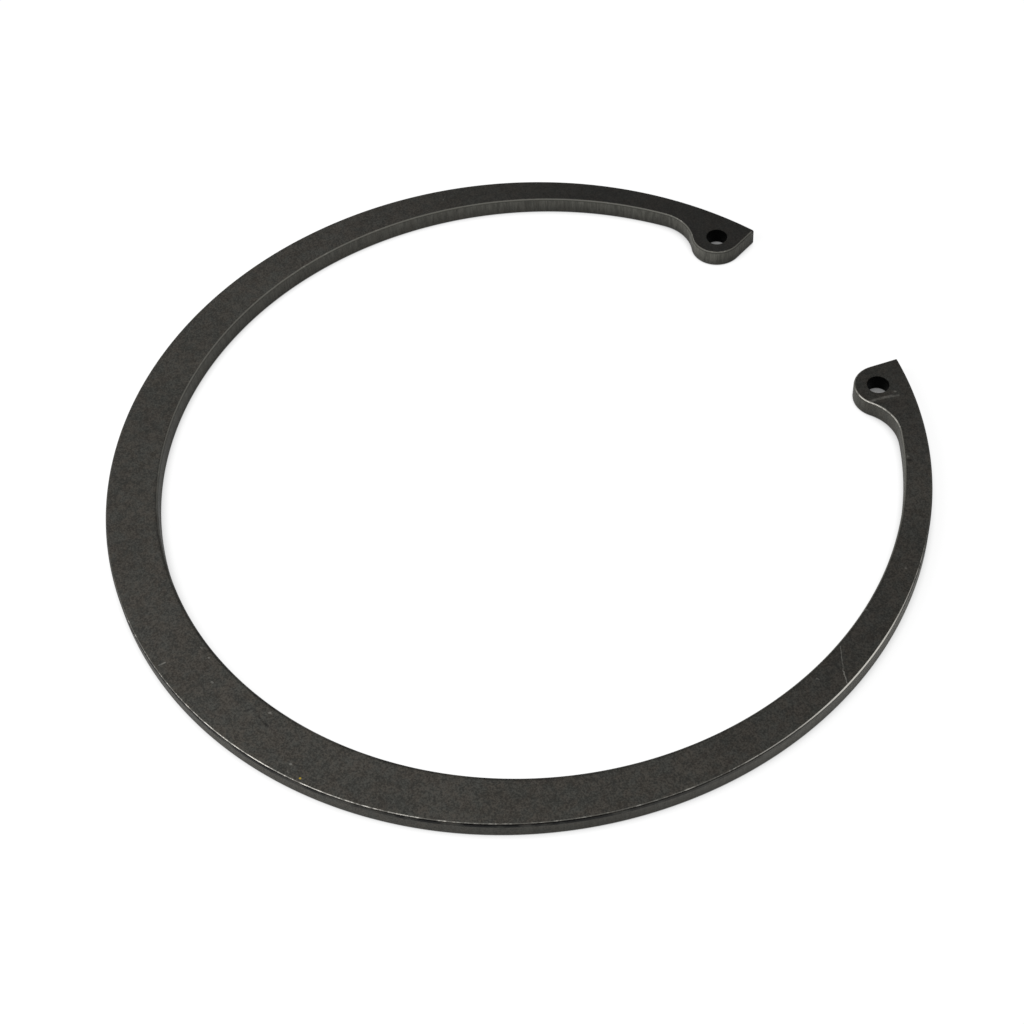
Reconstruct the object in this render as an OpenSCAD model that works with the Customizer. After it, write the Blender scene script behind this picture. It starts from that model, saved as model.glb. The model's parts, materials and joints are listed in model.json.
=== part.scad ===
// Internal retaining ring, stamped in one piece from spring steel.
// The ring lies flat on the XY plane with the centre of its outer circle at the origin.
// The gap faces +Y, and the outline is symmetric about the YZ plane.

/* [Ring] */
// Outer diameter of the ring as it lies free
free_d = 174.5; // [150:0.5:220]
// Thickness of the steel
thickness = 4; // [2:0.1:6]
// Radial width of the ring opposite the gap, where it is widest
wide_w = 11.5; // [8:0.1:16]
// Radial width that the ring tapers towards at the gap
narrow_w = 4.9; // [3.5:0.1:8]

/* [Gap] */
// Width of the gap between the two outer tips
gap_w = 50.2; // [36:0.2:70]
// Angle between each end edge and the line of symmetry
end_slant = 15.4; // [0:0.2:25]

/* [Lugs] */
// Radial width of a lug, from the outer circle to its nose
lug_w = 11.9; // [10:0.1:16]
// Radius of the round nose of a lug
nose_r = 5.85; // [4.5:0.05:7]
// Radius of the hollow neck that joins the nose to the ring
neck_r = 9.85; // [5:0.05:20]

/* [Plier holes] */
// Diameter of the hole in each lug
hole_d = 4.7; // [3:0.1:6]
// Distance from the end edge to the centre of the hole
hole_from_end = 5.5; // [4.5:0.1:7]
// Distance from the outer circle to the centre of the hole
hole_from_rim = 6.6; // [5:0.1:8]

/* [Edges] */
// Radius of the upper edge along the bore, the necks and the noses, drawn down by the punch
bore_edge_top = 0.45; // [0.1:0.05:0.8]
// Radius of the lower edge along the bore, the necks and the noses, broken by tumbling
bore_edge_bottom = 0.3; // [0.1:0.05:0.8]
// Radius of the upper edge along the straight end of a lug
end_edge_top = 0.4; // [0.1:0.05:0.8]
// Radius of the lower edge along the straight end of a lug
end_edge_bottom = 0.25; // [0.1:0.05:0.8]
// Radius of the upper edge along the outer circle
rim_edge_top = 0.35; // [0.1:0.05:0.8]
// Radius of the lower edge along the outer circle
rim_edge_bottom = 0.25; // [0.1:0.05:0.8]
// Radius of the edges at both ends of the plier holes
hole_edge = 0.25; // [0.1:0.05:0.5]
// Number of flats that each rounded edge is made of
edge_flats = 3; // [1:1:4]

/* [Hidden] */
$fa = 2;
$fs = 0.15;
steel = [0.27, 0.265, 0.255];

// Sizes by which the cuts run past the ring on every side, past its two faces, and past
// the line of symmetry
reach = 2 * free_d;
margin = 0.5;
past_middle = 10;

// Depth by which the neck and the end edge bite into the curves that they run out of,
// so that the walls cross there and don't just touch
bite = 0.03;

// The bore lies off the centre of the outer circle, which gives the ring its taper
rim_r = free_d / 2;
bore_r = rim_r - (wide_w + narrow_w) / 2;
bore_c = [0, (wide_w - narrow_w) / 2];

// Unit vector at an angle from +X
function heading(angle) = [cos(angle), sin(angle)];

// Angle of a triangle between two of its sides, opposite the third one
function angle_between(side1, side2, third) =
    acos((side1 ^ 2 + side2 ^ 2 - third ^ 2) / (2 * side1 * side2));

// Lug on the +X side, where the other one is its mirror image.
// The end edge starts at the tip, on the outer circle, and runs inwards.
tip = [gap_w / 2, sqrt(rim_r ^ 2 - (gap_w / 2) ^ 2)];
end_normal = heading(180 - end_slant);
end_inwards = heading(270 - end_slant);

// Point in the lug at given distances from the end edge and from the outer circle
function lug_point(from_end, from_rim) =
    let (
        start = tip - from_end * end_normal,
        along = start * end_inwards,
        rest = start * start - (rim_r - from_rim) ^ 2
    )
    start - (along + sqrt(along ^ 2 - rest)) * end_inwards;

nose_c = lug_point(nose_r, lug_w - nose_r);
hole_c = lug_point(hole_from_end, hole_from_rim);

// The neck touches the bore and the nose: the centres of the three circles form a triangle
bore_to_neck = bore_r - neck_r;
bore_to_nose = norm(nose_c - bore_c);
nose_angle = atan2(nose_c.y - bore_c.y, nose_c.x);
neck_angle = nose_angle - angle_between(bore_to_neck, bore_to_nose, neck_r + nose_r);
neck_c = bore_c + bore_to_neck * heading(neck_angle);

// Outline of a rounded edge from below the lower face to above the upper one, on a wall
// at x = 0 with the steel on the side of -X
function edge_line(top, bottom) =
    let (
        turn = 90 / edge_flats,
        past = margin / tan(turn / 2)
    )
    concat(
        [[-bottom - past, -margin]],
        [for (a = [90 - turn:-turn:0]) [-bottom * (1 - cos(a)), bottom * (1 - sin(a))]],
        [for (a = [0:turn:90 - turn]) [-top * (1 - cos(a)), thickness - top * (1 - sin(a))]],
        [[-top - past, thickness + margin]]
    );

// Section through everything on one side of a wall at x = r: the steel within it,
// or the space up to it
function section_within(r, top, bottom) =
    concat([[0, -margin]], [for (p = edge_line(top, bottom)) [r + p.x, p.y]], [[0, thickness + margin]]);
function section_up_to(r, top, bottom) =
    concat([[0, -margin]], [for (p = edge_line(top, bottom)) [r - p.x, p.y]], [[0, thickness + margin]]);

// Space of a round hole with a rounded edge, which runs past both faces
module hole(r, top, bottom) {
    rotate_extrude()
        polygon(section_up_to(r, top, bottom));
}

// Round body with a rounded edge, which runs past both faces
module plug(r, top, bottom) {
    rotate_extrude()
        polygon(section_within(r, top, bottom));
}

// Space beyond a straight wall along the Y axis at x = r, with a rounded edge
module beyond_wall(r, top, bottom) {
    translate([reach, 0])
        rotate([90, 0, 180])
            linear_extrude(2 * reach, center = true)
                polygon(section_up_to(reach - r, top, bottom));
}

// Prism over an outline, which runs past both faces of the ring by half as much as the
// holes and plugs do
module prism(points) {
    translate([0, 0, -margin / 2])
        linear_extrude(thickness + margin)
            polygon(points);
}

// Disc inside the outer circle
module blank() {
    rotate_extrude()
        intersection() {
            polygon(section_within(rim_r, rim_edge_top, rim_edge_bottom));
            square([rim_r, thickness]);
        }
}

// Bore, as far round as the two necks
module bore() {
    intersection() {
        translate(bore_c)
            hole(bore_r, bore_edge_top, bore_edge_bottom);
        prism([
            bore_c + reach * heading(neck_angle),
            bore_c,
            bore_c + reach * heading(180 - neck_angle),
            [-reach, -reach],
            [reach, -reach]
        ]);
    }
}

// Hollow of the neck
module neck() {
    translate(neck_c)
        hole(neck_r + bite, bore_edge_top, bore_edge_bottom);
}

// Space round the nose: the rest of the ring's middle on this side, up to the lines from
// the neck's centre to the nose's centre and from there straight across the end edge
module nose_space() {
    difference() {
        prism([
            bore_c - [past_middle, past_middle],
            bore_c - [0, past_middle],
            neck_c + neck_r / 2 * heading(neck_angle - 90),
            neck_c,
            nose_c,
            nose_c + 2 * nose_r * end_normal,
            [-past_middle, nose_c.y]
        ]);
        translate(nose_c)
            plug(nose_r, bore_edge_top, bore_edge_bottom);
    }
}

// Gap on this side of the line of symmetry, up to the end edge
module gap_space() {
    intersection() {
        translate(nose_c)
            rotate(180 - end_slant)
                beyond_wall(nose_r - bite, end_edge_top, end_edge_bottom);
        prism([[-past_middle, 0], [reach, 0], [reach, reach], [-past_middle, reach]]);
    }
}

// Hole for one tip of the pliers
module plier_hole() {
    translate(hole_c)
        hole(hole_d / 2, hole_edge, hole_edge);
}

// The first child, less the second one and its mirror image
module cut_both_sides() {
    difference() {
        difference() {
            children(0);
            children(1);
        }
        mirror([1, 0, 0])
            children(1);
    }
}

// Ring whose middle is still whole where the gap and the lugs will be
module ring_with_middle() {
    difference() {
        blank();
        bore();
    }
}

module retaining_ring() {
    color(steel)
        cut_both_sides() {
            cut_both_sides() {
                cut_both_sides() {
                    cut_both_sides() {
                        ring_with_middle();
                        neck();
                    }
                    gap_space();
                }
                nose_space();
            }
            plier_hole();
        }
}

retaining_ring();
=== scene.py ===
"""Retaining ring for a bore: black phosphated spring steel, lying on a white table."""

import json
from math import acos, atan2, ceil, cos, pi, radians, sin, sqrt

import bmesh
import bpy
from bpy.props import FloatProperty, FloatVectorProperty, IntProperty, PointerProperty
from mathutils import Matrix, Vector


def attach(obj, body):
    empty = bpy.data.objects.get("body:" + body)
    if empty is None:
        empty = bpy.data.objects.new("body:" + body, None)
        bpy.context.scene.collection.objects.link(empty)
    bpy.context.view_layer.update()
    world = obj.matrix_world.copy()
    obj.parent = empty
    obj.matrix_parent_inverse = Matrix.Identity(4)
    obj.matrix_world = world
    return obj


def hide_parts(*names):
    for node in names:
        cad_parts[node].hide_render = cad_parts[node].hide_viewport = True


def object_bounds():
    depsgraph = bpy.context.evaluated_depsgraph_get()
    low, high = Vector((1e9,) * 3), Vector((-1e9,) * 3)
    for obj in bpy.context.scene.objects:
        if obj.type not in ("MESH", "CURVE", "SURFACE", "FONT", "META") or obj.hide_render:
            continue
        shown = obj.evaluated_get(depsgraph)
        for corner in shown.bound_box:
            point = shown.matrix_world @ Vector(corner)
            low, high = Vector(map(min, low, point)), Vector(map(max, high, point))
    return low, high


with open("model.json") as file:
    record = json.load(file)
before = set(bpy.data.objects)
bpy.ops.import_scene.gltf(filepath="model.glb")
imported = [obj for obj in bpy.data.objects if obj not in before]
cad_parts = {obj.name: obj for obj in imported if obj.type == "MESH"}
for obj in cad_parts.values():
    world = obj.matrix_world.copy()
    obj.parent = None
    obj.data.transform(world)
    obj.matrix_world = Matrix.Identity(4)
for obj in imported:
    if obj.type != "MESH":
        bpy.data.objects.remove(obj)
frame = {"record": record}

bl_info = {
    "name": "Retaining Ring",
    "version": (1, 0, 0),
    "blender": (4, 5, 0),
    "location": "View3D > Sidebar > Ring",
    "description": "Builds an internal retaining ring with its worn black finish, on a white table",
    "category": "Object",
}

MM = 0.001
RING_NODE = "retaining_ring"
CAD_BOX = [list(corner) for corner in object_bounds()]
MOUNTS = {mount["name"]: mount for mount in frame["record"]["mounts"]}

# Points closer than SAME are one point, and points as close to a curve as ON_CURVE lie on it, in metres
SAME = 1e-6
ON_CURVE = 1e-5

# Faces that meet at less than this angle are shaded as one smooth surface
SMOOTH_BELOW = radians(40)

# Distance by which the table lies below the ring, so that their faces don't coincide
TABLE_DROP = 0.02 * MM

# Width of the camera's film, in millimetres, and the nearest distance that it sees, in metres
FILM_WIDTH = 36
NEAREST_SEEN = 0.01


# The frame gives the outer radius, the thickness and the plier holes. The other sizes are the solid's,
# apart from one radius for all lower edges, and a rounding at the tips, which the solid leaves sharp.
class RingSizes(bpy.types.PropertyGroup):
    """Sizes of the ring, as stamped, and how fine its mesh is"""

    rim_radius: FloatProperty(
        name="Rim Radius", description="Radius of the outer circle",
        default=MOUNTS["rim"]["dims"]["r_mm"] * MM, min=0.05, max=0.15, unit="LENGTH", precision=5)
    thickness: FloatProperty(
        name="Thickness", description="Thickness of the steel",
        default=CAD_BOX[1][2] - CAD_BOX[0][2], min=0.002, max=0.006, unit="LENGTH", precision=5)
    wide_width: FloatProperty(
        name="Wide Width", description="Radial width opposite the gap",
        default=11.5 * MM, min=0.008, max=0.016, unit="LENGTH", precision=5)
    narrow_width: FloatProperty(
        name="Narrow Width", description="Radial width that the ring tapers towards at the gap",
        default=4.9 * MM, min=0.0035, max=0.008, unit="LENGTH", precision=5)
    gap_width: FloatProperty(
        name="Gap Width", description="Width of the gap between the outer tips",
        default=50.2 * MM, min=0.036, max=0.07, unit="LENGTH", precision=5)
    end_slant: FloatProperty(
        name="End Slant", description="Angle between an end edge and the line of symmetry",
        default=radians(15.4), min=0, max=radians(25), unit="ROTATION")
    lug_width: FloatProperty(
        name="Lug Width", description="Radial width of a lug",
        default=11.9 * MM, min=0.01, max=0.016, unit="LENGTH", precision=5)
    nose_radius: FloatProperty(
        name="Nose Radius", description="Radius of the round nose of a lug",
        default=5.85 * MM, min=0.0045, max=0.007, unit="LENGTH", precision=5)
    neck_radius: FloatProperty(
        name="Neck Radius", description="Radius of the hollow neck between nose and ring",
        default=9.85 * MM, min=0.005, max=0.02, unit="LENGTH", precision=5)
    hole_radius: FloatProperty(
        name="Hole Radius", description="Radius of the plier hole in each lug",
        default=MOUNTS["lug_hole_right"]["dims"]["r_mm"] * MM, min=0.0015, max=0.003,
        unit="LENGTH", precision=5)
    hole_place: FloatVectorProperty(
        name="Hole Place", description="Centre of the plier hole in the right-hand lug",
        default=MOUNTS["lug_hole_right"]["pos_m"][:2], size=2, unit="LENGTH", precision=5)
    bore_edge: FloatProperty(
        name="Bore Edge", description="Rounding of the upper edge along the bore, the necks and the noses",
        default=0.45 * MM, min=0.0001, max=0.0008, unit="LENGTH", precision=5)
    end_edge: FloatProperty(
        name="End Edge", description="Rounding of the upper edge along the straight ends",
        default=0.4 * MM, min=0.0001, max=0.0008, unit="LENGTH", precision=5)
    rim_edge: FloatProperty(
        name="Rim Edge", description="Rounding of the upper edge along the outer circle",
        default=0.35 * MM, min=0.0001, max=0.0008, unit="LENGTH", precision=5)
    lower_edge: FloatProperty(
        name="Lower Edge", description="Rounding of the lower edges",
        default=0.28 * MM, min=0.0001, max=0.0008, unit="LENGTH", precision=5)
    hole_edge: FloatProperty(
        name="Hole Edge", description="Rounding of both edges of a plier hole",
        default=0.25 * MM, min=0.0001, max=0.0005, unit="LENGTH", precision=5)
    tip_edge: FloatProperty(
        name="Tip Edge", description="Rounding of the upright edge at an outer tip",
        default=0.2 * MM, min=0.0001, max=0.0005, unit="LENGTH", precision=5)
    arc_step: FloatProperty(
        name="Arc Step", description="Distance between neighbouring points on the long arcs",
        default=0.9 * MM, min=0.0003, max=0.005, unit="LENGTH", precision=5)
    lug_step: FloatProperty(
        name="Lug Step", description="Distance between neighbouring points round a lug",
        default=0.4 * MM, min=0.0001, max=0.002, unit="LENGTH", precision=5)
    edge_rows: IntProperty(
        name="Edge Rows", description="Rows of faces across a rounded edge", default=4, min=2, max=8)


class RingFinish(bpy.types.PropertyGroup):
    """Colours of the ring's black finish and of its wear, and of its painted light and painted shade"""

    steel_color: FloatVectorProperty(
        name="Black Finish", description="Colour of the phosphated and oiled steel",
        default=(0.061, 0.0585, 0.0535), size=3, min=0, max=1, subtype="COLOR")
    deep_color: FloatVectorProperty(
        name="Deep Black", description="Colour where the finish is thickest",
        default=(0.025, 0.0238, 0.0215), size=3, min=0, max=1, subtype="COLOR")
    # Painted light: this colour makes the sheared walls and the upper roundings paler
    painted_light_color: FloatVectorProperty(
        name="Painted Wall Light", description="Colour of the painted light on the sheared walls and upper roundings",
        default=(0.162, 0.16, 0.14), size=3, min=0, max=1, subtype="COLOR")
    # Worn steel, also used for the painted highlight along the rubbed edges and for the painted sheen of
    # the outer wall
    worn_and_sheen_color: FloatVectorProperty(
        name="Worn Steel and Sheen", description="Colour of steel rubbed bare along an edge",
        default=(0.62, 0.6, 0.55), size=3, min=0, max=1, subtype="COLOR")
    # Painted shade: near-black put below the rim, along the bore and in the plier holes
    line_color: FloatVectorProperty(
        name="Painted Shade", description="Colour below the rubbed rim, along the bore and in the plier holes",
        default=(0.003, 0.003, 0.003), size=3, min=0, max=1, subtype="COLOR")
    fleck_color: FloatVectorProperty(
        name="Fleck", description="Colour of a grain of brass caught near the rim",
        default=(0.42, 0.3, 0.03), size=3, min=0, max=1, subtype="COLOR")
    roughness: FloatProperty(
        name="Roughness", description="Roughness of the finish",
        default=0.5, min=0, max=1, subtype="FACTOR")
    worn_roughness: FloatProperty(
        name="Worn Roughness", description="Roughness of steel rubbed bare",
        default=0.28, min=0, max=1, subtype="FACTOR")


class RingStage(bpy.types.PropertyGroup):
    """Table, lamps and camera"""

    floor_size: FloatProperty(
        name="Floor Size", description="Side of the white table",
        default=4.0, min=0.5, max=10, unit="LENGTH")
    camera_place: FloatVectorProperty(
        name="Camera Place", description="Place of the camera",
        default=(0.241893, -0.138538, 0.338207), size=3, unit="LENGTH", precision=5)
    camera_aim: FloatVectorProperty(
        name="Camera Aim", description="Point that the camera looks at",
        default=(0.0044183, -0.0043791, -0.0048617), size=3, unit="LENGTH", precision=5)
    camera_roll: FloatProperty(
        name="Camera Roll", description="Turn of the camera about its own axis",
        default=radians(-5.56), min=-pi, max=pi, unit="ROTATION")
    camera_lens: FloatProperty(
        name="Focal Length", description="Focal length of the camera",
        default=72.079, min=20, max=200, unit="CAMERA")
    lamp_place: FloatVectorProperty(
        name="Softbox Place", description="Place of the large softbox",
        default=(-0.05, -0.3, 0.34), size=3, unit="LENGTH")
    lamp_size: FloatProperty(
        name="Softbox Size", description="Side of the large softbox",
        default=0.3, min=0.05, max=2, unit="LENGTH")
    lamp_power: FloatProperty(
        name="Softbox Power", description="Power of the large softbox",
        default=1.75, min=0, max=100, unit="POWER")
    room_light: FloatProperty(
        name="Room Light", description="Strength of the light that comes from all round",
        default=0.25, min=0, max=1, subtype="FACTOR")
    floor_share: FloatProperty(
        name="Shadow Depth", description="Share of the floor's white that a shadow can take away",
        default=0.14, min=0, max=1, subtype="FACTOR")
    contact_reach: FloatProperty(
        name="Contact Reach", description="Reach of the dark line where the ring meets the table",
        default=0.007, min=0.001, max=0.05, unit="LENGTH", precision=4)


def heading(angle):
    """Unit vector in the ring's plane at an angle from +X."""
    return Vector((cos(angle), sin(angle)))


def corner(side, other, opposite):
    """Angle of a triangle between two of its sides."""
    return acos((side ** 2 + other ** 2 - opposite ** 2) / (2 * side * other))


def ring_plan(sizes):
    """Centres and angles of the right-hand lug's curves, worked out from the driving sizes."""
    rim = sizes.rim_radius
    bore = rim - (sizes.wide_width + sizes.narrow_width) / 2
    bore_centre = Vector((0, (sizes.wide_width - sizes.narrow_width) / 2))
    tip = Vector((sizes.gap_width / 2, sqrt(rim ** 2 - (sizes.gap_width / 2) ** 2)))
    end_normal = heading(pi - sizes.end_slant)
    end_inwards = heading(1.5 * pi - sizes.end_slant)
    start = tip - sizes.nose_radius * end_normal
    along = start.dot(end_inwards)
    nose_reach = rim - sizes.lug_width + sizes.nose_radius
    nose = start - (along + sqrt(along ** 2 - start.dot(start) + nose_reach ** 2)) * end_inwards
    bore_to_neck = bore - sizes.neck_radius
    neck_to_nose = sizes.neck_radius + sizes.nose_radius
    offset = nose - bore_centre
    nose_angle = atan2(offset.y, offset.x)
    neck_angle = nose_angle - corner(bore_to_neck, offset.length, neck_to_nose)
    neck = bore_centre + bore_to_neck * heading(neck_angle)
    to_neck = neck - nose
    return {
        "bore": bore,
        "bore_centre": bore_centre,
        "tip": tip,
        "end_touch": nose + sizes.nose_radius * end_normal,
        "nose": nose,
        "nose_turn": 2 * pi - (pi - sizes.end_slant) + atan2(to_neck.y, to_neck.x),
        "neck": neck,
        "neck_turn": pi - corner(bore_to_neck, neck_to_nose, offset.length),
        "neck_angle": neck_angle,
    }


def deselect_all():
    bpy.ops.object.select_all(action="DESELECT")


def only(piece):
    """Selects one object and makes it the active one."""
    deselect_all()
    piece.select_set(True)
    bpy.context.view_layer.objects.active = piece


def apply_modifier(piece, kind, **settings):
    """Adds one modifier with its settings and applies it."""
    only(piece)
    modifier = piece.modifiers.new(kind.title(), kind)
    for name, value in settings.items():
        setattr(modifier, name, value)
    bpy.ops.object.modifier_apply(modifier=modifier.name)


def edit(piece, kind):
    """Opens a piece in edit mode, in one of the modes VERT, EDGE and FACE, with nothing selected."""
    if piece.mode != "EDIT":
        only(piece)
        bpy.ops.object.mode_set(mode="EDIT")
    bpy.ops.mesh.select_mode(type=kind)
    bpy.ops.mesh.select_all(action="DESELECT")


def select_where(piece, kind, test):
    """Selects the vertices, edges or faces of a piece in edit mode that pass a test, and counts them."""
    edit(piece, kind)
    mesh = bmesh.from_edit_mesh(piece.data)
    found = 0
    for element in {"VERT": mesh.verts, "EDGE": mesh.edges, "FACE": mesh.faces}[kind]:
        if test(element):
            element.select_set(True)
            found += 1
    bmesh.update_edit_mesh(piece.data)
    if not found:
        raise RuntimeError("nothing to select on " + piece.name)
    return found


def near(place):
    """Test for a vertex at a place in the ring's plane."""
    return lambda vertex: (vertex.co.xy - place).length < ON_CURVE


def spin(centre, angle, step):
    """Sweeps what is selected round an upright axis, where a positive angle turns from +X to +Y."""
    steps = max(2, ceil(abs(angle) / step))
    bpy.ops.mesh.spin(steps=steps, angle=-angle, center=(centre.x, centre.y, 0), axis=(0, 0, 1))


def draw_half(piece, sizes, plan):
    """Draws the flat outline of the right-hand half: the long arc as a strip, and the lug as one face."""
    rim, bore = sizes.rim_radius, plan["bore"]
    origin = Vector((0, 0))
    arc_angle = sizes.arc_step / rim
    select_where(piece, "VERT", lambda vertex: vertex.co.x > (rim - bore) / 2)
    bpy.ops.mesh.delete(type="VERT")
    edit(piece, "VERT")
    bpy.ops.mesh.select_all(action="SELECT")
    spin(origin, pi / 2 + plan["neck_angle"], arc_angle)
    select_where(piece, "VERT", lambda vertex: vertex.co.length < (rim + bore) / 2)
    bpy.ops.transform.translate(value=(0, plan["bore_centre"].y, 0))
    select_where(piece, "VERT", near(rim * heading(plan["neck_angle"])))
    spin(origin, atan2(plan["tip"].y, plan["tip"].x) - plan["neck_angle"], arc_angle)
    select_where(piece, "VERT", near(plan["tip"]))
    to_touch = plan["end_touch"] - plan["tip"]
    bpy.ops.mesh.extrude_vertices_move(TRANSFORM_OT_translate={"value": (to_touch.x, to_touch.y, 0)})
    spin(plan["nose"], plan["nose_turn"], sizes.lug_step / sizes.nose_radius)
    spin(plan["neck"], -plan["neck_turn"], sizes.lug_step / sizes.neck_radius)
    edit(piece, "VERT")
    bpy.ops.mesh.select_all(action="SELECT")
    bpy.ops.mesh.remove_doubles(threshold=SAME)
    to_neck = heading(plan["neck_angle"])
    section_ends = (near(rim * to_neck), near(plan["bore_centre"] + bore * to_neck))

    def on_last_section(edge):
        return all(any(test(vertex) for test in section_ends) for vertex in edge.verts)

    select_where(piece, "EDGE", lambda edge: not edge.link_faces or on_last_section(edge))
    bpy.ops.mesh.edge_face_add()


def raise_half(piece, sizes):
    """Gives the flat half its thickness and punches the plier hole."""
    edit(piece, "FACE")
    bpy.ops.mesh.select_all(action="SELECT")
    bpy.ops.mesh.extrude_region_move(TRANSFORM_OT_translate={"value": (0, 0, sizes.thickness)})
    bpy.ops.mesh.select_all(action="SELECT")
    bpy.ops.mesh.normals_make_consistent(inside=False)
    bpy.ops.object.mode_set(mode="OBJECT")
    deselect_all()
    bpy.ops.mesh.primitive_cylinder_add(
        vertices=ceil(2 * pi * sizes.hole_radius / sizes.lug_step) * 2, radius=sizes.hole_radius,
        depth=2 * sizes.thickness, location=(*sizes.hole_place, sizes.thickness / 2))
    punch = bpy.context.active_object
    apply_modifier(piece, "BOOLEAN", object=punch, operation="DIFFERENCE", solver="EXACT")
    only(punch)
    bpy.ops.object.delete()


def mirror_half(piece):
    """Opens the half at the line of symmetry and joins it with its mirror image."""
    select_where(piece, "FACE", lambda face: abs(face.calc_center_median().x) < SAME)
    bpy.ops.mesh.delete(type="FACE")
    bpy.ops.object.mode_set(mode="OBJECT")
    apply_modifier(piece, "MIRROR", use_axis=(True, False, False), merge_threshold=SAME)
    edit(piece, "FACE")
    bpy.ops.mesh.select_all(action="SELECT")
    bpy.ops.mesh.normals_make_consistent(inside=False)
    bpy.ops.object.mode_set(mode="OBJECT")


def round_edges(piece, sizes, plan):
    """Rounds every edge by its own radius, and smooths the shading."""
    widest = max(sizes.bore_edge, sizes.end_edge, sizes.rim_edge, sizes.lower_edge, sizes.hole_edge)
    hole = Vector(sizes.hole_place)
    tip, end_touch = plan["tip"], plan["end_touch"]
    end_line = (end_touch - tip).normalized()

    def right(vertex):
        return Vector((abs(vertex.co.x), vertex.co.y))

    def on_rim(vertex):
        return abs(vertex.co.xy.length - sizes.rim_radius) < ON_CURVE

    def on_hole(vertex):
        return abs((right(vertex) - hole).length - sizes.hole_radius) < ON_CURVE

    def on_end(vertex):
        from_tip = right(vertex) - tip
        return abs(from_tip.cross(end_line)) < ON_CURVE and from_tip.dot(end_line) > -SAME

    def is_outline(edge, upper):
        levels = [abs(face.normal.z) > 0.5 for face in edge.link_faces]
        height = sizes.thickness if upper else 0
        return levels.count(True) == 1 and all(abs(vertex.co.z - height) < SAME for vertex in edge.verts)

    def kind_of(edge):
        for kind, test in (("rim", on_rim), ("hole", on_hole), ("end", on_end)):
            if all(test(vertex) for vertex in edge.verts):
                return kind
        return "bore"

    radii = {
        ("rim", True): sizes.rim_edge, ("rim", False): sizes.lower_edge,
        ("bore", True): sizes.bore_edge, ("bore", False): sizes.lower_edge,
        ("end", True): sizes.end_edge, ("end", False): sizes.lower_edge,
        ("hole", True): sizes.hole_edge, ("hole", False): sizes.hole_edge,
    }
    for (kind, upper), radius in radii.items():
        select_where(piece, "EDGE", lambda edge: is_outline(edge, upper) and kind_of(edge) == kind)
        bpy.ops.transform.edge_bevelweight(value=radius / widest)
    select_where(
        piece, "EDGE",
        lambda edge: all((right(vertex) - tip).length < ON_CURVE for vertex in edge.verts))
    bpy.ops.transform.edge_bevelweight(value=sizes.tip_edge / widest)
    bpy.ops.object.mode_set(mode="OBJECT")
    apply_modifier(
        piece, "BEVEL", limit_method="WEIGHT", width=widest, segments=sizes.edge_rows,
        use_clamp_overlap=False, miter_outer="MITER_SHARP")
    edit(piece, "VERT")
    bpy.ops.mesh.select_all(action="SELECT")
    bpy.ops.mesh.remove_doubles(threshold=SAME)
    bpy.ops.mesh.normals_make_consistent(inside=False)
    bpy.ops.object.mode_set(mode="OBJECT")
    bpy.ops.object.shade_smooth_by_angle(angle=SMOOTH_BELOW)
    apply_modifier(piece, "WEIGHTED_NORMAL", keep_sharp=True, weight=100)


def mark_turned(piece):
    """Stores how far the surface turns from level (0) to upright (1), for the wear along the edges."""
    # A vertex where a flat face meets a rounding leans a little, by about a quarter of one row's angle
    lean = 0.06
    turned = piece.data.attributes.new("turned", "FLOAT", "POINT")
    for vertex in piece.data.vertices:
        angle = acos(min(1, abs(vertex.normal.z))) / (pi / 2)
        turned.data[vertex.index].value = min(1, max(0, (angle - lean) / (1 - 2 * lean)))


class Wiring:
    """Adds nodes to one node tree and joins them up."""

    def __init__(self, tree):
        self.tree = tree

    def add(self, kind, inputs=None, **settings):
        """Adds a node with its settings, and feeds its inputs with values or with other nodes' outputs."""
        node = self.tree.nodes.new(kind)
        node.location = (180 * (len(self.tree.nodes) % 8), -260 * (len(self.tree.nodes) // 8))
        for name, value in settings.items():
            setattr(node, name, value)
        for name, value in (inputs or {}).items():
            if isinstance(value, bpy.types.NodeSocket):
                self.tree.links.new(value, node.inputs[name])
            else:
                node.inputs[name].default_value = value
        return node

    def math(self, operation, *values, clamp=False):
        """Output of a Math node."""
        node = self.add("ShaderNodeMath", dict(enumerate(values)), operation=operation, use_clamp=clamp)
        return node.outputs[0]

    def vector(self, operation, *values):
        """Output of a Vector Math node: its vector, or its value where that is what it gives."""
        inputs = dict(enumerate(values))
        if operation == "SCALE":
            inputs = {0: values[0], "Scale": values[1]}
        node = self.add("ShaderNodeVectorMath", inputs, operation=operation)
        return node.outputs["Value" if operation in {"LENGTH", "DISTANCE", "DOT_PRODUCT"} else "Vector"]

    def ramp(self, value, low, high, to_low=0.0, to_high=1.0):
        """Value carried over smoothly from one range to another."""
        return self.add("ShaderNodeMapRange", {
            "Value": value, "From Min": low, "From Max": high, "To Min": to_low, "To Max": to_high,
        }, interpolation_type="SMOOTHSTEP").outputs["Result"]

    def noise(self, position, size, detail=3.0, rough=0.55):
        """Noise whose lumps have about a given size in metres, which may be another node's output."""
        scale = self.math("DIVIDE", 1.0, size) if isinstance(size, bpy.types.NodeSocket) else 1 / size
        return self.add("ShaderNodeTexNoise", {
            "Vector": position, "Scale": scale, "Detail": detail, "Roughness": rough,
        }).outputs["Fac"]

    def mix(self, factor, first, second):
        """Colour between two others."""
        # A Mix node has its colour sockets at 6 and 7, and gives its colour at 2
        node = self.add("ShaderNodeMix", {0: factor, 6: first, 7: second}, data_type="RGBA")
        return node.outputs[2]

    def fold(self, operation, values):
        """Result of a Math node applied to several values in turn."""
        result = values[0]
        for value in values[1:]:
            result = self.math(operation, result, value)
        return result

    def product(self, *values):
        """Product of several values."""
        return self.fold("MULTIPLY", values)

    def most(self, *values):
        """Highest of several values."""
        return self.fold("MAXIMUM", values)


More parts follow.
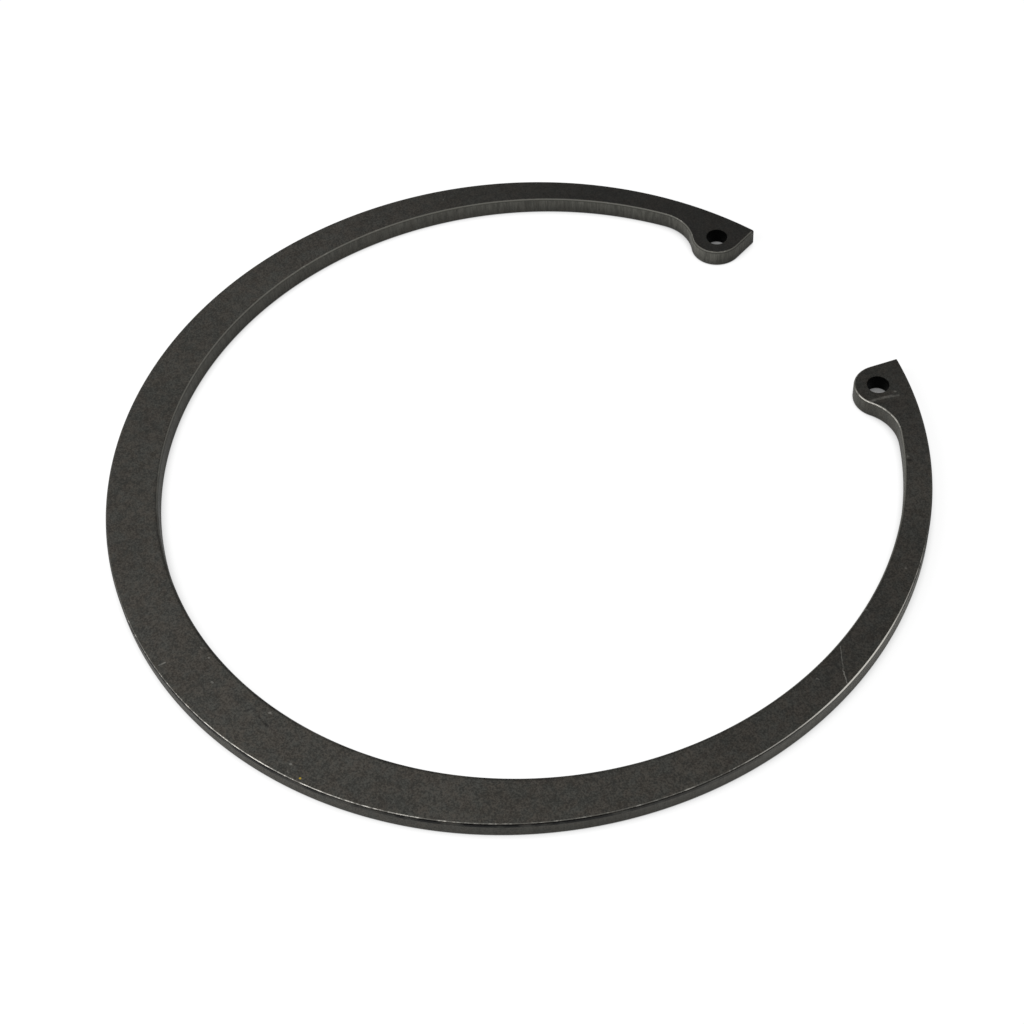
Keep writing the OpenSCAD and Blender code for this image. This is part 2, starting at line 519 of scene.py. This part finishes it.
def new_group(name, inputs, outputs):
    """Makes a shader node group with named inputs and outputs, and gives its wiring and its two ends."""
    tree = bpy.data.node_groups.new(name, "ShaderNodeTree")
    kinds = {"value": "NodeSocketFloat", "color": "NodeSocketColor", "vector": "NodeSocketVector"}
    for label, (kind, default) in inputs.items():
        socket = tree.interface.new_socket(label, in_out="INPUT", socket_type=kinds[kind])
        if default is not None:
            socket.default_value = default
    for label, kind in outputs.items():
        tree.interface.new_socket(label, in_out="OUTPUT", socket_type=kinds[kind])
    wiring = Wiring(tree)
    return tree, wiring, wiring.add("NodeGroupInput").outputs, wiring.add("NodeGroupOutput").inputs


def place_group(wiring, tree, inputs):
    """Places a node group in a material with its own values."""
    node = wiring.add("ShaderNodeGroup", node_tree=tree)
    for name, value in inputs.items():
        if isinstance(value, bpy.types.NodeSocket):
            wiring.tree.links.new(value, node.inputs[name])
        else:
            node.inputs[name].default_value = value
    return node.outputs


def opaque(color):
    """Colour with full alpha."""
    return (*color, 1)


# Sizes of what varies in the finish, in metres
GRAIN_SIZE = 0.35 * MM
BLOTCH_SIZE = 2.1 * MM
CLOUD_SIZE = 16 * MM
TINT_SIZE = 2.8 * MM
STREAK_SIZE = 0.7 * MM
RIM_PATCH_SIZE = 1.6 * MM
BORE_PATCH_SIZE = 3 * MM
SHADE_LINE_PATCH_SIZE = 5 * MM
SCRATCH_PATCH_SIZE = 0.6 * MM

# Scale of the noise that makes scratches ragged, and the distance by which it moves them
RAGGED_SCALE = 2200.0
RAGGED_REACH = 0.4 * MM

# Tints of the cooler and of the warmer black
COOL_TINT = (0.96, 1.0, 0.98, 1)
WARM_TINT = (1.05, 0.995, 0.93, 1)

# Depths at which the looks of an edge come and are full: in from the outer circle, out from a plier
# hole, out from the inner circle, and down from the upper face
RIM_DEPTH = (0.8 * MM, 0.6 * MM)
HOLE_DEPTH = (0.5 * MM, 0.3 * MM)
BORE_LINE_DEPTH = (0.9 * MM, 0.3 * MM)
RIM_LINE_DEPTH = (1.2 * MM, 0.85 * MM)

# Turns of the surface, from level (0) to upright (1), between which a look comes or goes
WALL_TURN = (0.8, 1.0)
# Turns between which the painted highlight on the upper rounding comes and goes
ROUNDING_HIGHLIGHT_COMES = (0.05, 0.35)
ROUNDING_HIGHLIGHT_GOES = (0.6, 0.95)
RIM_LINE_TURN = (0.34, 0.44)
HOLE_SHADE_TURN = (0.3, 0.7)

# Turns at which the bare line along an edge, partly real wear and partly a painted highlight, begins and
# ends. Along the rim it ends at the first of two turns where the edge is little worn, and at the second one
# where it is much worn.
RIM_RUB_FROM = 0.1
RIM_RUB_TO = (0.33, 0.62)
BORE_RUB = (0.14, 0.46)

# Spacing, size and share of the pale flecks and of the dark pits
FLECKS = (6 * MM, 0.22 * MM, 0.25)
PITS = (2.1 * MM, 0.22 * MM, 0.4)

# Looks that change round the ring, each at headings in degrees from +X: wear of the upper edge along
# the rim and along the bore, partly a painted highlight, painted dark shade line below the rim, painted
# dark shade line along the bore, painted light and shade on the upper face, painted light that makes the
# inner and the outer walls paler, and painted sheen of the outer wall
# Wear by heading, partly real wear and partly a painted highlight where the edge catches the softbox
RIM_WEAR_AND_HIGHLIGHT = (
    (-180, 0.1), (-115, 0.15), (-104, 0.32), (-88, 0.36), (-80, 0.5), (-57, 0.5), (-44, 0.4), (-20, 0.39),
    (-6, 0.44), (4, 0.6), (12, 0.78), (22, 0.78), (30, 0.56), (38, 0.42), (46, 0.2), (100, 0.1), (180, 0.1),
)
BORE_WEAR_AND_HIGHLIGHT = (
    (-180, 0.3), (-140, 0.25), (-100, 0.0), (-20, 0.0), (49, 0.1), (55, 0.3), (59, 0.44), (61, 0.56),
    (64, 0.54), (66, 0.46), (68, 0.4), (70, 0.2), (95, 0.15), (108, 0.34), (150, 0.25), (180, 0.3),
)
# Painted shade: strength by heading of the dark lines below the rim and along the bore
RIM_SHADE_LINE = (
    (-180, 0.4), (-120, 0.4), (-95, 0.8), (-80, 1.0), (-30, 1.0), (-10, 0.7), (15, 0.4), (40, 0.15),
    (180, 0.2),
)
BORE_SHADE_LINE = ((-180, 0), (-140, 0.1), (-110, 0.8), (-60, 0.9), (0, 0.6), (30, 0.35), (60, 0.1), (180, 0))
# Painted light and shade: the upper face is made lighter or darker by heading, as the softbox falls on it
PAINTED_FACE_LIGHT = (
    (-180, 0.93), (-160, 0.92), (-115, 0.92), (-75, 1.06), (-40, 1.1), (-8, 1.04), (15, 0.85), (30, 0.8),
    (48, 1.0), (65, 0.68), (90, 0.45), (110, 0.32), (140, 0.36), (155, 0.62), (165, 0.78), (180, 0.93),
)
# Painted light on the walls by heading, paler where they face the softbox: first the inner walls, then the
# outer wall
WALL_PAINTED_LIGHT = ((-180, 0.65), (40, 0.52), (75, 0.52), (98, 1.0), (112, 1.0), (122, 0.7), (180, 0.65))
RIM_WALL_PAINTED_LIGHT = (
    (-180, 0.25), (-90, 0.22), (-45, 0.22), (-20, 0.5), (5, 0.9), (35, 1.0), (60, 0.45), (95, 0.45),
    (107, 0.9), (115, 0.45), (180, 0.25),
)
# Painted sheen: the outer wall is mixed towards the worn steel colour by heading
PAINTED_RIM_SHEEN = ((-180, 0), (-25, 0), (0, 0.08), (25, 0.13), (45, 0.1), (60, 0), (180, 0))

# Marks on the upper face: start and end in millimetres, width in millimetres, strength
PALE_MARKS = (
    ((76.75, 25.31), (81.6, 22.04), 0.13, 0.4),
    ((81.6, 22.04), (84.1, 20.88), 0.17, 0.75),
    ((31.3, 70.9), (32.27, 74.21), 0.5, 0.3),
    ((32.27, 74.21), (33.0, 75.7), 0.5, 0.38),
    ((33.0, 75.7), (33.56, 76.87), 0.4, 0.25),
    ((32.2, 76.9), (32.3, 77.0), 0.35, 0.5),
    ((47.8, 67.1), (47.8, 67.3), 0.4, 0.3),
    ((69.6, 48.1), (69.8, 47.9), 0.35, 0.35),
    ((72.8, 34.8), (73.1, 35.1), 0.3, 0.4),
    ((80.0, 16.8), (80.3, 17.0), 0.3, 0.3),
    ((-10.4, -74.9), (-10.2, -74.85), 0.35, 0.8),
    ((0.91, -86.15), (0.99, -84.84), 0.14, 0.55),
    ((2.1, -77.3), (2.4, -77.1), 0.25, 0.3),
    ((5.2, -77.2), (5.4, -77.1), 0.3, 0.4),
    ((10.7, -79.5), (10.9, -79.4), 0.3, 0.35),
    ((23.8, -73.7), (24.0, -73.6), 0.35, 0.5),
    ((36.3, -76.2), (36.5, -76.1), 0.3, 0.4),
    ((37.4, -77.5), (37.7, -77.4), 0.25, 0.4),
    ((57.6, -46.4), (57.9, -46.2), 0.3, 0.45),
)
DARK_MARKS = (
    ((20.66, -77.25), (20.95, -76.07), 0.3, 0.6),
    ((20.95, -76.07), (22.4, -75.3), 0.25, 0.4),
    ((23.18, -75.75), (24.85, -75.79), 0.3, 0.6),
    ((24.85, -75.79), (26.23, -75.45), 0.35, 0.7),
    ((48.6, 66.8), (48.8, 67.0), 0.6, 0.6),
)
BRASS_FLECK = (((40.1, -76.24), (40.15, -76.24), 0.35, 1.0),)


def phosphate_grain():
    """Crystalline black finish: fine grain, small blotches, and clouds of a warmer or cooler black, scaled
    by a painted lightness.
    """
    fine_share, blotch_share, cloud_share = 0.64, 0.23, 0.13
    warm_from, warm_to = 0.38, 0.62
    oil_gloss = 0.35
    tree, wiring, given, ends = new_group(
        "Phosphate Grain",
        {
            "Position": ("vector", None), "Thin Color": ("color", (0.061, 0.0585, 0.0535, 1)),
            "Thick Color": ("color", (0.025, 0.0238, 0.0215, 1)), "Painted Lightness": ("value", 1.0),
            "Grain Size": ("value", GRAIN_SIZE), "Roughness": ("value", 0.5), "Contrast": ("value", 5.4),
        },
        {"Color": "color", "Roughness": "value", "Height": "value"})
    link = wiring.tree.links.new
    fine = wiring.noise(given["Position"], given["Grain Size"], 2.0, 0.6)
    blotch = wiring.noise(given["Position"], BLOTCH_SIZE, 4.0, 0.6)
    cloud = wiring.noise(given["Position"], CLOUD_SIZE, 3.0, 0.5)
    layered = wiring.math("ADD", wiring.product(fine, fine_share), wiring.product(blotch, blotch_share))
    layered = wiring.math("ADD", layered, wiring.product(cloud, cloud_share))
    shade = wiring.product(wiring.math("SUBTRACT", layered, 0.5), given["Contrast"])
    shade = wiring.math("ADD", shade, 0.5, clamp=True)
    color = wiring.mix(shade, given["Thick Color"], given["Thin Color"])
    warmth = wiring.ramp(wiring.noise(given["Position"], TINT_SIZE, 5.0, 0.75), warm_from, warm_to)
    color = wiring.vector("MULTIPLY", color, wiring.mix(warmth, COOL_TINT, WARM_TINT))
    # Painted lightness: the colour is scaled by painted light and shade
    link(wiring.vector("SCALE", color, given["Painted Lightness"]), ends["Color"])
    oily = wiring.product(wiring.math("SUBTRACT", blotch, 0.5), oil_gloss)
    link(wiring.math("SUBTRACT", given["Roughness"], oily), ends["Roughness"])
    link(wiring.math("ADD", fine, wiring.product(blotch, 0.5)), ends["Height"])
    return tree


def edge_rub():
    """Line along a rounded edge where the finish is rubbed off, partly a painted highlight, broken up along
    its length.
    """
    coming, going = 0.08, 0.15
    bare_above, sharpness = 0.85, 5.0
    light_wear, heavy_wear = 0.5, 0.85
    lightly_bare, thin_share = 0.5, 0.27
    tree, wiring, given, ends = new_group(
        "Edge Rub and Highlight",
        {
            "Position": ("vector", None), "Turned": ("value", 0.0), "From": ("value", 0.1),
            "To": ("value", 0.5), "Strength": ("value", 0.5), "Patch Size": ("value", 4 * MM),
        },
        {"Mask": "value"})
    begin = wiring.ramp(given["Turned"], wiring.math("SUBTRACT", given["From"], coming), given["From"])
    fade = wiring.ramp(given["Turned"], given["To"], wiring.math("ADD", given["To"], going), 1.0, 0.0)
    patches = wiring.noise(given["Position"], given["Patch Size"], 6.0, 0.7)
    bare = wiring.math("SUBTRACT", wiring.math("ADD", patches, given["Strength"]), bare_above)
    bare = wiring.math("MULTIPLY", bare, sharpness, clamp=True)
    bare = wiring.product(bare, wiring.ramp(given["Strength"], light_wear, heavy_wear, lightly_bare, 1.0))
    thinned = wiring.product(given["Strength"], thin_share)
    wiring.tree.links.new(wiring.product(begin, fade, wiring.most(bare, thinned)), ends["Mask"])
    return tree


def scratch():
    """Scratch between two points, ragged and broken up as its position and patches are."""
    core = 0.3
    tree, wiring, given, ends = new_group(
        "Scratch",
        {
            "Ragged Position": ("vector", None), "Patches": ("value", 1.0), "Start": ("vector", (0, 0, 0)),
            "End": ("vector", (0, 0, 0)), "Width": ("value", 0.2 * MM), "Strength": ("value", 1.0),
        },
        {"Mask": "value"})
    place = given["Ragged Position"]
    run = wiring.vector("SUBTRACT", given["End"], given["Start"])
    along = wiring.vector("DOT_PRODUCT", wiring.vector("SUBTRACT", place, given["Start"]), run)
    along = wiring.math("DIVIDE", along, wiring.vector("DOT_PRODUCT", run, run), clamp=True)
    nearest = wiring.vector("ADD", given["Start"], wiring.vector("SCALE", run, along))
    away = wiring.vector("DISTANCE", place, nearest)
    line = wiring.ramp(away, wiring.product(given["Width"], core), given["Width"], 1.0, 0.0)
    wiring.tree.links.new(wiring.product(line, given["Patches"], given["Strength"]), ends["Mask"])
    return tree


def specks():
    """Sparse small round specks of about one size."""
    core = 0.3
    tree, wiring, given, ends = new_group(
        "Specks",
        {
            "Position": ("vector", None), "Spacing": ("value", 4 * MM), "Size": ("value", 0.3 * MM),
            "Share": ("value", 0.3),
        },
        {"Mask": "value"})
    cells = wiring.add("ShaderNodeTexVoronoi", {
        "Vector": given["Position"], "Scale": wiring.math("DIVIDE", 1.0, given["Spacing"])})
    away = wiring.product(cells.outputs["Distance"], given["Spacing"])
    dot = wiring.ramp(away, wiring.product(given["Size"], core), given["Size"], 1.0, 0.0)
    chance = wiring.add("ShaderNodeSeparateColor", {"Color": cells.outputs["Color"]}).outputs["Red"]
    chosen = wiring.math("LESS_THAN", chance, given["Share"])
    wiring.tree.links.new(wiring.product(dot, chosen), ends["Mask"])
    return tree


def by_heading(wiring, position, stops):
    """Value that changes round the ring, given at headings in degrees from +X."""
    turn = wiring.add("ShaderNodeTexGradient", {"Vector": position}, gradient_type="RADIAL").outputs["Fac"]
    ramp = wiring.add("ShaderNodeValToRGB", {"Fac": turn})
    elements = ramp.color_ramp.elements
    while len(elements) < len(stops):
        elements.new(0.5)
    for element, (angle, value) in zip(elements, stops):
        element.position = (angle + 180) / 360
        element.color = (value, value, value, 1)
    return ramp.outputs["Color"]


def find_places(wiring, sizes):
    """Place and turn of the surface, and masks for its upper half, walls, rim, holes and inner edge."""
    position = wiring.add("ShaderNodeTexCoord").outputs["Object"]
    turned = wiring.add("ShaderNodeAttribute", attribute_name="turned").outputs["Fac"]
    axes = wiring.add("ShaderNodeSeparateXYZ", {"Vector": position}).outputs
    level = wiring.vector("MULTIPLY", position, (1, 1, 0))
    rim, hole = sizes.rim_radius, sizes.hole_radius
    at_rim = wiring.ramp(wiring.vector("LENGTH", level), rim - RIM_DEPTH[0], rim - RIM_DEPTH[1])
    right = wiring.add("ShaderNodeCombineXYZ", {"X": wiring.math("ABSOLUTE", axes["X"]), "Y": axes["Y"]})
    from_hole = wiring.vector("DISTANCE", right.outputs[0], (*sizes.hole_place, 0))
    at_hole = wiring.ramp(from_hole, hole + HOLE_DEPTH[1], hole + HOLE_DEPTH[0], 1.0, 0.0)
    return {
        "position": position,
        "level": level,
        "height": axes["Z"],
        "turned": turned,
        "upper": wiring.math("GREATER_THAN", axes["Z"], sizes.thickness / 2),
        "upright": wiring.ramp(turned, *WALL_TURN),
        "at_rim": at_rim,
        "at_hole": at_hole,
        "inner": wiring.math("SUBTRACT", wiring.math("SUBTRACT", 1.0, at_rim), at_hole, clamp=True),
    }


def color_walls(wiring, places, sizes, finish, color):
    """Colour with the walls' streaked painted light, by heading and darker towards the table, their painted
    sheen, and the streaks.
    """
    squash = 0.15
    bloom_from, bloom_to, least = 0.3, 0.75, 0.4
    full_height = 0.85 * sizes.thickness
    position, upright, at_rim = places["position"], places["upright"], places["at_rim"]
    streaks = wiring.noise(wiring.vector("MULTIPLY", position, (1, 1, squash)), STREAK_SIZE, 4.0, 0.7)
    bloom = wiring.product(
        upright,
        wiring.ramp(streaks, bloom_from, bloom_to, least, 1.0),
        wiring.ramp(places["height"], 0.0, full_height, least, 1.0),
        wiring.add("ShaderNodeMapRange", {
            "Value": at_rim, "To Min": by_heading(wiring, position, WALL_PAINTED_LIGHT),
            "To Max": by_heading(wiring, position, RIM_WALL_PAINTED_LIGHT),
        }).outputs["Result"])
    # Painted light: the walls are mixed towards a paler colour, less towards the table
    color = wiring.mix(bloom, color, opaque(finish.painted_light_color))
    # Painted sheen on the outer wall, mixed in with the worn steel colour
    sheen = wiring.product(upright, at_rim, by_heading(wiring, position, PAINTED_RIM_SHEEN))
    return wiring.mix(sheen, color, opaque(finish.worn_and_sheen_color)), streaks


def find_rub_and_highlight(wiring, places):
    """Mask for the upper edges that are rubbed bare along the rim and along the bore, with wear by heading
    that is partly a painted highlight.
    """
    little_worn, much_worn = 0.5, 0.8
    position, turned = places["position"], places["turned"]
    rub = edge_rub()
    rim_wear_and_highlight = by_heading(wiring, position, RIM_WEAR_AND_HIGHLIGHT)
    along_rim = place_group(wiring, rub, {
        "Position": position, "Turned": turned, "From": RIM_RUB_FROM,
        "To": wiring.ramp(rim_wear_and_highlight, little_worn, much_worn, *RIM_RUB_TO),
        "Patch Size": RIM_PATCH_SIZE, "Strength": rim_wear_and_highlight,
    })["Mask"]
    along_bore = place_group(wiring, rub, {
        "Position": position, "Turned": turned, "From": BORE_RUB[0], "To": BORE_RUB[1],
        "Patch Size": BORE_PATCH_SIZE, "Strength": by_heading(wiring, position, BORE_WEAR_AND_HIGHLIGHT),
    })["Mask"]
    rubbed = wiring.math(
        "ADD", wiring.product(along_rim, places["at_rim"]), wiring.product(along_bore, places["inner"]))
    return wiring.product(places["upper"], rubbed)


def find_painted_shade(wiring, places, sizes, plan):
    """Mask for painted shade: the dark lines below the rubbed rim and along the bore, and the plier holes.
    """
    line_from, line_to, least = 0.3, 0.55, 0.35
    bore_line_share = 0.85
    position, turned = places["position"], places["turned"]
    patches = wiring.noise(position, SHADE_LINE_PATCH_SIZE, 4.0, 0.6)
    patches = wiring.ramp(patches, line_from, line_to, least, 1.0)
    below_rim = wiring.product(
        wiring.ramp(turned, *RIM_LINE_TURN),
        wiring.ramp(places["height"], *[sizes.thickness - depth for depth in RIM_LINE_DEPTH]),
        places["at_rim"], patches, by_heading(wiring, position, RIM_SHADE_LINE))
    from_bore = wiring.vector("DISTANCE", places["level"], (*plan["bore_centre"], 0))
    gone, full = [plan["bore"] + depth for depth in BORE_LINE_DEPTH]
    along_bore = wiring.product(
        wiring.ramp(from_bore, full, gone, bore_line_share, 0.0),
        places["upper"], patches, by_heading(wiring, position, BORE_SHADE_LINE))
    # Painted shade: the plier holes' walls are made near-black
    in_hole = wiring.product(places["at_hole"], wiring.ramp(turned, *HOLE_SHADE_TURN))
    return wiring.most(below_rim, along_bore, in_hole)


def find_marks(wiring, position, thickness, *tables):
    """Masks for tables of marks on the upper face."""
    kept_from, kept_to, least = 0.3, 0.6, 0.35
    uneven = wiring.add("ShaderNodeTexNoise", {"Vector": position, "Scale": RAGGED_SCALE, "Detail": 2.0})
    uneven = wiring.vector("SUBTRACT", uneven.outputs["Color"], (0.5, 0.5, 0.5))
    moved = wiring.vector("MULTIPLY", uneven, (RAGGED_REACH, RAGGED_REACH, 0))
    ragged = wiring.vector("ADD", position, moved)
    broken_up = wiring.noise(position, SCRATCH_PATCH_SIZE, 3.0)
    broken_up = wiring.ramp(broken_up, kept_from, kept_to, least, 1.0)
    cut = scratch()
    return [
        wiring.most(*[
            place_group(wiring, cut, {
                "Ragged Position": ragged, "Patches": broken_up, "Width": width * MM, "Strength": strength,
                "Start": (start[0] * MM, start[1] * MM, thickness),
                "End": (end[0] * MM, end[1] * MM, thickness),
            })["Mask"]
            for start, end, width, strength in table
        ])
        for table in tables
    ]


def steel_material(finish, sizes, plan):
    """Black phosphated spring steel with its worn edges, partly painted highlights, marks, sheared walls
    with painted light and sheen, painted light and shade on the upper face, and painted shade in dark lines
    and dark plier holes.
    """
    contrast, oiled_gloss = 5.4, 0.1
    rounding_highlight_share, fleck_share, pale_share, pit_share = 0.6, 0.35, 0.4, 0.6
    bare_metal, wall_roughness = 0.9, 0.6
    streak_relief, bump_strength, bump_depth = 1.5, 0.5, 0.03 * MM
    material = bpy.data.materials.new("Black Phosphated Steel")
    material.use_nodes = True
    wiring = Wiring(material.node_tree)
    shader = material.node_tree.nodes["Principled BSDF"]
    link = wiring.tree.links.new
    places = find_places(wiring, sizes)
    position, turned, upright = places["position"], places["turned"], places["upright"]
    grain = place_group(wiring, phosphate_grain(), {
        "Position": position, "Grain Size": GRAIN_SIZE, "Contrast": contrast,
        "Roughness": finish.roughness,
        "Thin Color": opaque(finish.steel_color), "Thick Color": opaque(finish.deep_color),
        # Painted light and shade on the upper face, by heading
        "Painted Lightness": by_heading(wiring, position, PAINTED_FACE_LIGHT),
    })

    color, streaks = color_walls(wiring, places, sizes, finish, grain["Color"])
    # Painted highlight: the upper rounding along the bore, the necks, the noses and the ends is made paler
    rounding = wiring.product(
        wiring.ramp(turned, *ROUNDING_HIGHLIGHT_COMES), wiring.ramp(turned, *ROUNDING_HIGHLIGHT_GOES, 1.0, 0.0),
        places["upper"], places["inner"])
    color = wiring.mix(wiring.product(rounding, rounding_highlight_share), color, opaque(finish.painted_light_color))

    # Pits, pale marks, dark painted shade lines, brass and bare steel (partly painted highlight) lie over
    # each other, the last one on top
    pale_marks, dark_marks, brass = find_marks(
        wiring, position, sizes.thickness, PALE_MARKS, DARK_MARKS, BRASS_FLECK)
    dots = specks()
    flecks, pits = [
        place_group(wiring, dots, {
            "Position": position, "Spacing": spacing, "Size": size, "Share": share})["Mask"]
        for spacing, size, share in (FLECKS, PITS)
    ]
    rubbed = find_rub_and_highlight(wiring, places)
    dark = find_painted_shade(wiring, places, sizes, plan)
    pale = wiring.most(pale_marks, wiring.product(flecks, fleck_share))
    color = wiring.mix(wiring.product(pits, pit_share), color, opaque(finish.deep_color))
    color = wiring.mix(wiring.product(pale, pale_share), color, opaque(finish.worn_and_sheen_color))
    color = wiring.mix(wiring.most(dark, dark_marks), color, opaque(finish.line_color))
    color = wiring.mix(brass, color, opaque(finish.fleck_color))
    # Bare steel along the upper edges: partly real wear, partly a painted highlight
    color = wiring.mix(rubbed, color, opaque(finish.worn_and_sheen_color))

    link(color, shader.inputs["Base Color"])
    # Painted shade is fully metallic so that its near-black colour reflects nothing; bare steel is metallic
    # too
    link(wiring.most(wiring.product(rubbed, bare_metal), dark), shader.inputs["Metallic"])
    duller = wiring.most(grain["Roughness"], wiring.product(upright, wall_roughness))
    worn = wiring.product(rubbed, wiring.math("SUBTRACT", finish.worn_roughness, duller))
    link(wiring.math("ADD", duller, worn), shader.inputs["Roughness"])
    relief = wiring.math("ADD", grain["Height"], wiring.product(streaks, upright, streak_relief))
    relief = wiring.math("SUBTRACT", relief, wiring.most(pits, pale_marks, dark_marks))
    bump = wiring.add("ShaderNodeBump", {
        "Height": relief, "Strength": bump_strength, "Distance": bump_depth})
    link(bump.outputs["Normal"], shader.inputs["Normal"])
    shader.inputs["Specular IOR Level"].default_value = oiled_gloss
    return material


class RING_OT_add_ring(bpy.types.Operator):
    """Models the ring with its lugs, plier holes and rounded edges, and gives it its black finish"""

    bl_idname = "ring.add_ring"
    bl_label = "Ring"
    bl_options = {"REGISTER", "UNDO"}

    def execute(self, context):
        sizes, finish = context.scene.ring_sizes, context.scene.ring_finish
        plan = ring_plan(sizes)
        width = sizes.rim_radius - plan["bore"]
        deselect_all()
        middle = (sizes.rim_radius + plan["bore"]) / 2
        bpy.ops.mesh.primitive_plane_add(size=width, location=(width / 2, -middle, 0))
        piece = context.active_object
        piece.name = piece.data.name = "ring"
        bpy.ops.object.transform_apply(location=True, rotation=True, scale=True)
        draw_half(piece, sizes, plan)
        raise_half(piece, sizes)
        mirror_half(piece)
        round_edges(piece, sizes, plan)
        mark_turned(piece)
        piece.data.materials.clear()
        piece.data.materials.append(steel_material(finish, sizes, plan))
        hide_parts(RING_NODE)
        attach(piece, "root")
        return {"FINISHED"}


def look(place, aim, roll=0.0):
    """Rotation of a camera or lamp at a place that looks at a point."""
    turn = (Vector(aim) - Vector(place)).to_track_quat("-Z", "Y").to_matrix()
    return (turn @ Matrix.Rotation(roll, 3, "Z")).to_euler()


def seen_white(wiring):
    """1 for the rays that show the background: from the camera, off gloss and through glass."""
    path = wiring.add("ShaderNodeLightPath").outputs
    return wiring.most(path["Is Camera Ray"], path["Is Glossy Ray"], path["Is Transmission Ray"])


def floor_material(share, reach):
    """White table that keeps a soft shadow, and a darker one where the ring closes over it."""
    material = bpy.data.materials.new("White Table")
    material.use_nodes = True
    nodes = material.node_tree.nodes
    nodes.clear()
    wiring = Wiring(material.node_tree)
    covered, uncovered, darkest = 0.14, 0.7, 0.12
    full_white, table_grey = 1.08, 0.8
    plain, shaded = [
        wiring.add("ShaderNodeBsdfDiffuse", {"Color": (grey, grey, grey, 1)}).outputs["BSDF"]
        for grey in (table_grey, share)
    ]
    open_sky = wiring.add("ShaderNodeAmbientOcclusion", {"Distance": reach}, samples=16).outputs["AO"]
    strength = wiring.product(wiring.ramp(open_sky, covered, uncovered, darkest, 1.0), full_white - share)
    glow = wiring.add("ShaderNodeEmission", {"Color": (1, 1, 1, 1), "Strength": strength})
    white = wiring.add("ShaderNodeAddShader", {0: shaded, 1: glow.outputs["Emission"]}).outputs["Shader"]
    mixed = wiring.add("ShaderNodeMixShader", {0: seen_white(wiring), 1: plain, 2: white}).outputs["Shader"]
    wiring.add("ShaderNodeOutputMaterial", {"Surface": mixed})
    return material


def light_world(world, strength):
    """Plain light from all round, with a white background."""
    world.use_nodes = True
    world.node_tree.nodes.clear()
    wiring = Wiring(world.node_tree)
    light, white = [
        wiring.add("ShaderNodeBackground", {"Color": (1, 1, 1, 1), "Strength": power}).outputs["Background"]
        for power in (strength, 1.0)
    ]
    mixed = wiring.add("ShaderNodeMixShader", {0: seen_white(wiring), 1: light, 2: white}).outputs["Shader"]
    wiring.add("ShaderNodeOutputWorld", {"Surface": mixed})


class RING_OT_set_stage(bpy.types.Operator):
    """Lays the white table, and sets the softbox, the room light and the camera"""

    bl_idname = "ring.set_stage"
    bl_label = "Stage"
    bl_options = {"REGISTER", "UNDO"}

    def execute(self, context):
        scene = context.scene
        stage = scene.ring_stage
        deselect_all()
        bpy.ops.mesh.primitive_plane_add(size=stage.floor_size, location=(0, 0, -TABLE_DROP))
        floor = context.active_object
        floor.name = floor.data.name = "floor"
        bpy.ops.object.transform_apply(location=True, rotation=True, scale=True)
        floor.data.materials.append(floor_material(stage.floor_share, stage.contact_reach))

        bpy.ops.object.light_add(
            type="AREA", location=stage.lamp_place, rotation=look(stage.lamp_place, (0, 0, 0)))
        softbox = context.active_object
        softbox.name = "softbox"
        softbox.data.shape = "SQUARE"
        softbox.data.size = stage.lamp_size
        softbox.data.energy = stage.lamp_power

        if scene.world is None:
            scene.world = bpy.data.worlds.new("Room")
        light_world(scene.world, stage.room_light)

        bpy.ops.object.camera_add(
            location=stage.camera_place,
            rotation=look(stage.camera_place, stage.camera_aim, stage.camera_roll))
        camera = context.active_object
        camera.name = "photo_camera"
        camera.data.sensor_width = FILM_WIDTH
        camera.data.lens = stage.camera_lens
        camera.data.clip_start = NEAREST_SEEN
        scene.camera = camera
        scene.view_settings.view_transform = "Standard"
        return {"FINISHED"}


class RING_PT_sidebar(bpy.types.Panel):
    """Lists the ring and its stage, each with its sizes and colours"""

    bl_idname = "RING_PT_sidebar"
    bl_label = "Retaining Ring"
    bl_space_type = "VIEW_3D"
    bl_region_type = "UI"
    bl_category = "Ring"

    def draw(self, context):
        scene = context.scene
        for operator, groups in (
            (RING_OT_add_ring, (scene.ring_sizes, scene.ring_finish)),
            (RING_OT_set_stage, (scene.ring_stage,)),
        ):
            box = self.layout.box()
            for group in groups:
                for name in type(group).__annotations__:
                    box.prop(group, name)
            box.operator(operator.bl_idname)


CLASSES = (RingSizes, RingFinish, RingStage, RING_OT_add_ring, RING_OT_set_stage, RING_PT_sidebar)


def register():
    for kind in CLASSES:
        bpy.utils.register_class(kind)
    bpy.types.Scene.ring_sizes = PointerProperty(type=RingSizes)
    bpy.types.Scene.ring_finish = PointerProperty(type=RingFinish)
    bpy.types.Scene.ring_stage = PointerProperty(type=RingStage)


def unregister():
    del bpy.types.Scene.ring_stage
    del bpy.types.Scene.ring_finish
    del bpy.types.Scene.ring_sizes
    for kind in reversed(CLASSES):
        bpy.utils.unregister_class(kind)


def main():
    register()
    bpy.ops.ring.add_ring()
    bpy.ops.ring.set_stage()


if __name__ == "__main__":
    main()
